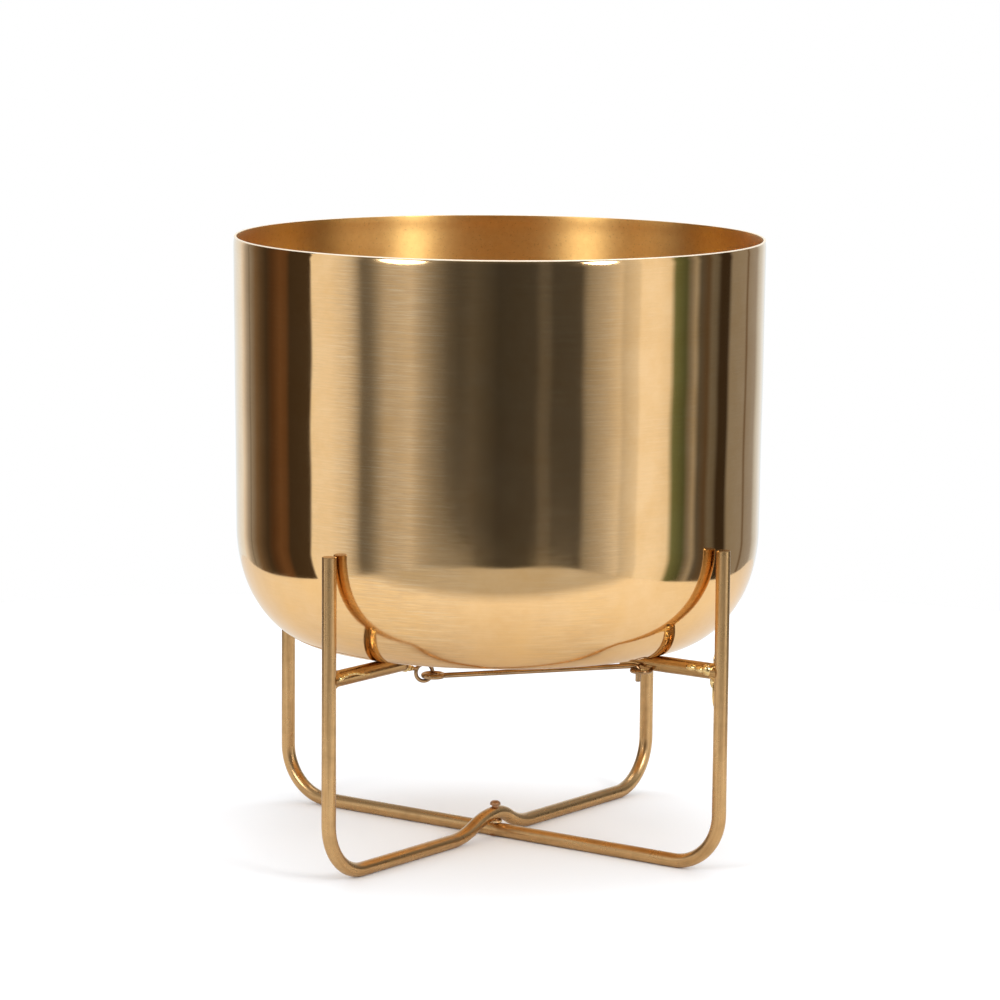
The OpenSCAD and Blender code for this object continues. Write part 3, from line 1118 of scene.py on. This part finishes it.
ON_HUMP_SIDE = (
    (hump_rod, "hump_frame", "rod_brass"),
    (arms["front_left"], "arm_front_left", "rod_brass"),
    (arms["back_right"], "arm_back_right", "rod_brass"),
    (joint_front_left, "braze_front_left", "braze"),
    (joint_back_right, "braze_back_right", "braze"),
    (rivet, "pivot_rivet", "rivet_brass"),
    (washer, "spacer_washer", "rivet_brass"),
    (link_wire, "link_ring", "wire_brass"),
    (link_bead, "link_braze", "braze"),
)
ON_FLAT_SIDE = (
    (flat_rod, "flat_frame", "rod_brass"),
    (arms["front_right"], "arm_front_right", "rod_brass"),
    (arms["back_left"], "arm_back_left", "rod_brass"),
    (joint_front_right, "braze_front_right", "braze"),
    (joint_back_left, "braze_back_left", "braze"),
    (keeper_wire, "keeper_ring", "wire_brass"),
    (keeper_bead, "keeper_braze", "braze"),
)
for body, pieces in (
    ("hump_side", ON_HUMP_SIDE),
    ("flat_side", ON_FLAT_SIDE),
    ("pot", ((pot, "pot_shell", "pot_brass"),)),
    ("stay", ((stay_wire, "stay_rod", "wire_brass"),)),
):
    for piece, cad_node, slot in pieces:
        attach(piece, body)
        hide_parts(cad_node)


# ---------------------------------------------------------------- studio

# The camera's line of sight on plan, in degrees from +X, seen from the pot.
FACING = 261.245

# Tints of the light from the walls.
TINTS = {
    "plain": (1.0, 1.0, 1.0),
    "cool": (0.86, 0.94, 1.0),
    "umber": (1.0, 0.76, 0.54),
    "rust": (1.0, 0.56, 0.3),
    "leaf": (0.78, 1.0, 0.58),
}
# What the walls of the studio show, by degrees round from the camera: (angle, brightness, tint).
LEFT_WALL = (
    (-180, 1.0, "cool"),
    (-150, 1.0, "cool"),
    (-147, 0.8, "plain"),
    (-141, 0.38, "plain"),
    (-138, 0.3, "plain"),
    (-137.4, 0.1, "umber"),
    (-136.8, 0.3, "plain"),
    (-130, 0.17, "umber"),
    (-125, 0.1, "umber"),
    (-120, 0.055, "umber"),
    (-115, 0.08, "rust"),
    (-109, 0.14, "rust"),
    (-105, 0.12, "rust"),
    (-102, 0.052, "umber"),
    (-88.8, 0.065, "umber"),
    (-88.2, 0.94, "plain"),
    (-77, 0.92, "plain"),
    (-69, 0.76, "plain"),
    (-66, 0.6, "plain"),
    (-63.5, 0.4, "plain"),
    (-61, 0.13, "plain"),
    (-57, 0.17, "plain"),
    (-53, 0.34, "plain"),
    (-50, 0.5, "plain"),
    (-44, 0.56, "plain"),
    (-38, 0.64, "plain"),
    (-33, 0.42, "plain"),
    (-27, 0.23, "plain"),
    (-21, 0.11, "plain"),
    (-16.5, 0.08, "plain"),
    (-11, 0.1, "plain"),
    (0, 0.05, "plain"),
)
RIGHT_WALL = (
    (0, 0.05, "plain"),
    (15, 0.065, "plain"),
    (18, 0.12, "plain"),
    (21, 0.11, "plain"),
    (23, 0.065, "plain"),
    (35, 0.07, "plain"),
    (38, 0.29, "plain"),
    (47, 0.52, "plain"),
    (53, 0.74, "plain"),
    (55, 0.62, "plain"),
    (62, 0.82, "plain"),
    (63.5, 1.0, "plain"),
    (72, 1.0, "plain"),
    (78, 0.9, "plain"),
    (81, 0.2, "leaf"),
    (87, 0.11, "leaf"),
    (90, 0.2, "plain"),
    (93, 0.36, "plain"),
    (96, 0.1, "plain"),
    (101, 0.1, "umber"),
    (104, 0.16, "plain"),
    (107, 0.14, "plain"),
    (110, 0.04, "umber"),
    (116, 0.04, "umber"),
    (119, 0.27, "plain"),
    (133, 0.3, "plain"),
    (135, 0.15, "umber"),
    (137, 0.3, "plain"),
    (147, 0.35, "plain"),
    (152, 0.7, "cool"),
    (162, 1.0, "cool"),
    (180, 1.0, "cool"),
)

# The walls fade into the ceiling between these heights, in degrees over the horizon.
CEILING_FROM = 14
CEILING_FULL = 38
CEILING = (0.36, 0.36, 0.36)


def wall_ramp(tree, bands, factor):
    """The colour of a wall at a factor of 0 to 1 from its first band to its last."""
    made = node(tree, "ShaderNodeValToRGB")
    ramp = made.color_ramp
    low = bands[0][0]
    width = bands[-1][0] - low
    while len(ramp.elements) > 1:
        ramp.elements.remove(ramp.elements[-1])
    for index, (angle, brightness, tint) in enumerate(bands):
        place = (angle - low) / width
        stop = ramp.elements[0] if index == 0 else ramp.elements.new(place)
        stop.position = place
        stop.color = (*(brightness * part for part in TINTS[tint]), 1.0)
    wire(tree, factor, made.inputs["Fac"])
    return made.outputs["Color"]


def from_camera(tree, vector):
    """The parts of a vector after a turn on plan that makes its x point at the camera."""
    turn = node(tree, "ShaderNodeMapping", vector_type="POINT")
    turn.inputs["Rotation"].default_value = (0, 0, -math.radians(FACING))
    wire(tree, vector, turn.inputs["Vector"])
    return split_xyz(tree, turn.outputs["Vector"])


def studio_walls():
    """The room as the brass mirrors it. The camera and the diffuse light see plain white."""
    world = bpy.data.worlds.new("studio")
    bpy.context.scene.world = world
    world.use_nodes = True
    tree = world.node_tree
    tree.nodes.clear()
    way = from_camera(tree, node(tree, "ShaderNodeTexCoord").outputs["Generated"])
    angle = calculate(tree, "ARCTAN2", way[1], way[0])
    degrees = calculate(tree, "MULTIPLY", angle, 180 / math.pi)
    left = wall_ramp(tree, LEFT_WALL, spread(tree, degrees, -180, 0, 0, 1))
    right = wall_ramp(tree, RIGHT_WALL, spread(tree, degrees, 0, 180, 0, 1))
    on_right = calculate(tree, "GREATER_THAN", degrees, 0.0)
    walls = blend_colour(tree, on_right, left, right)
    height = calculate(tree, "ARCSINE", way[2])
    high = spread(tree, height, math.radians(CEILING_FROM), math.radians(CEILING_FULL), 0.0, 1.0)
    room = blend_colour(tree, high, walls, CEILING)
    rays = node(tree, "ShaderNodeLightPath")
    seen = calculate(tree, "MAXIMUM", rays.outputs["Is Camera Ray"], rays.outputs["Is Diffuse Ray"])
    shown = blend_colour(tree, seen, room, (1.0, 1.0, 1.0))
    back = node(tree, "ShaderNodeBackground")
    wire(tree, shown, back.inputs["Color"])
    end = node(tree, "ShaderNodeOutputWorld")
    wire(tree, back.outputs[0], end.inputs["Surface"])


# The point that the lights face.
LIT_POINT = Vector((0, 0, 0.25))


def softbox(name, round_degrees, height_degrees, distance, width, tall, brightness):
    """An oval light that faces the pot. Degrees round are from the camera, + to its right."""
    light = bpy.data.lights.new(name, "AREA")
    light.shape = "ELLIPSE"
    light.size = width
    light.size_y = tall
    light.energy = brightness * math.pi * width * tall
    made = add_object(name, light)
    azimuth = math.radians(FACING + round_degrees)
    lift = math.radians(height_degrees)
    way = Vector((math.cos(azimuth) * math.cos(lift), math.sin(azimuth) * math.cos(lift), math.sin(lift)))
    made.location = way * distance + LIT_POINT
    made.rotation_mode = "QUATERNION"
    made.rotation_quaternion = way.to_track_quat("Z", "Y")
    made.visible_camera = False


# The floor sheet reaches further towards the camera than to the sides. Its round corners:
# (distance towards the camera, aside, first angle), in millimetres and degrees.
FLOOR_ROUND = 300.0
FLOOR_CORNERS = ((820.0, 220.0, 0), (-500.0, 220.0, 90), (-500.0, -220.0, 180), (820.0, -220.0, 270))
FLOOR_THICKNESS = 4.0
CORNER_STEPS = 12

# The floor's colour to diffuse rays and the camera, and to the brass near the pot and further out, with the
# distances towards the camera, in metres, between which it darkens. The darker far part is painted shade,
# seen only in the brass's reflections.
FLOOR_PALE = (0.93, 0.96, 1.0)
FLOOR_NEAR = (0.71, 0.70, 0.68)
FLOOR_FAR_PAINTED_SHADE = (0.38, 0.38, 0.37)
PAINTED_SHADE_FROM = 0.36
PAINTED_SHADE_TO = 0.46


def floor_edge():
    """The sheet's outline on plan, with x towards the camera."""
    edge = []
    for at_x, at_y, start in FLOOR_CORNERS:
        for i in range(CORNER_STEPS + 1):
            x, y = polar(start + 90 * i / CORNER_STEPS, FLOOR_ROUND)
            edge.append((at_x + x, at_y + y))
    return edge


def studio_floor():
    """A pale sheet under the pot, with round corners. The walls beyond it are as white as it is."""
    made, tree, shader = new_finish("pale floor", metallic=0.0)
    shader.inputs["Roughness"].default_value = 1.0
    shader.inputs["Specular IOR Level"].default_value = 0.0
    # Painted shade: in the brass's reflections the floor darkens towards the camera, as if shaded there;
    # the camera and diffuse light see it evenly pale.
    towards = from_camera(tree, object_place(tree))[0]
    painted_shade_towards_camera = spread(tree, towards, PAINTED_SHADE_FROM, PAINTED_SHADE_TO, 0.0, 1.0)
    mirrored = blend_colour(tree, painted_shade_towards_camera, FLOOR_NEAR, FLOOR_FAR_PAINTED_SHADE)
    rays = node(tree, "ShaderNodeLightPath")
    pale = blend_colour(tree, rays.outputs["Is Glossy Ray"], FLOOR_PALE, mirrored)
    wire(tree, pale, shader.inputs["Base Color"])
    edge = floor_edge()
    count = len(edge)
    points = [(x, y, z) for z in (0.0, -FLOOR_THICKNESS) for x, y in edge]
    faces = [tuple(range(count)), tuple(reversed(range(count, 2 * count)))]
    faces += [(i, i + count, (i + 1) % count + count, (i + 1) % count) for i in range(count)]
    floor = mesh_piece("floor", placed(points, FACING), faces, made, 30)


studio_walls()
studio_floor()
softbox("left softbox", -41, 20, distance=1.7, width=0.62, tall=0.7, brightness=5.0)
softbox("right softbox", 42, 23, distance=1.7, width=0.5, tall=0.7, brightness=8.0)
softbox("overhead light", 160, 80, distance=1.9, width=1.2, tall=1.2, brightness=2.2)

# The camera: its place in metres, its heading, tilt and lean in degrees, and its lens in millimetres.
CAMERA_PLACE = (-0.3552, -2.3065, 0.5476)
CAMERA_HEADING = -8.785
CAMERA_TILT = 81.4485
CAMERA_LEAN = 0.4852
LENS = 148.35
SENSOR_WIDTH = 36.0


def camera():
    lens = bpy.data.cameras.new("camera")
    lens.lens = LENS
    lens.sensor_width = SENSOR_WIDTH
    lens.clip_start = 0.1
    lens.clip_end = 20.0
    made = add_object("camera", lens)
    place = Matrix.Translation(CAMERA_PLACE)
    heading = Matrix.Rotation(math.radians(CAMERA_HEADING), 4, "Z")
    tilt = Matrix.Rotation(math.radians(CAMERA_TILT), 4, "X")
    lean = Matrix.Rotation(math.radians(CAMERA_LEAN), 4, "Z")
    made.matrix_world = place @ heading @ tilt @ lean
    bpy.context.scene.camera = made


camera()
bpy.context.scene.view_settings.view_transform = "Standard"
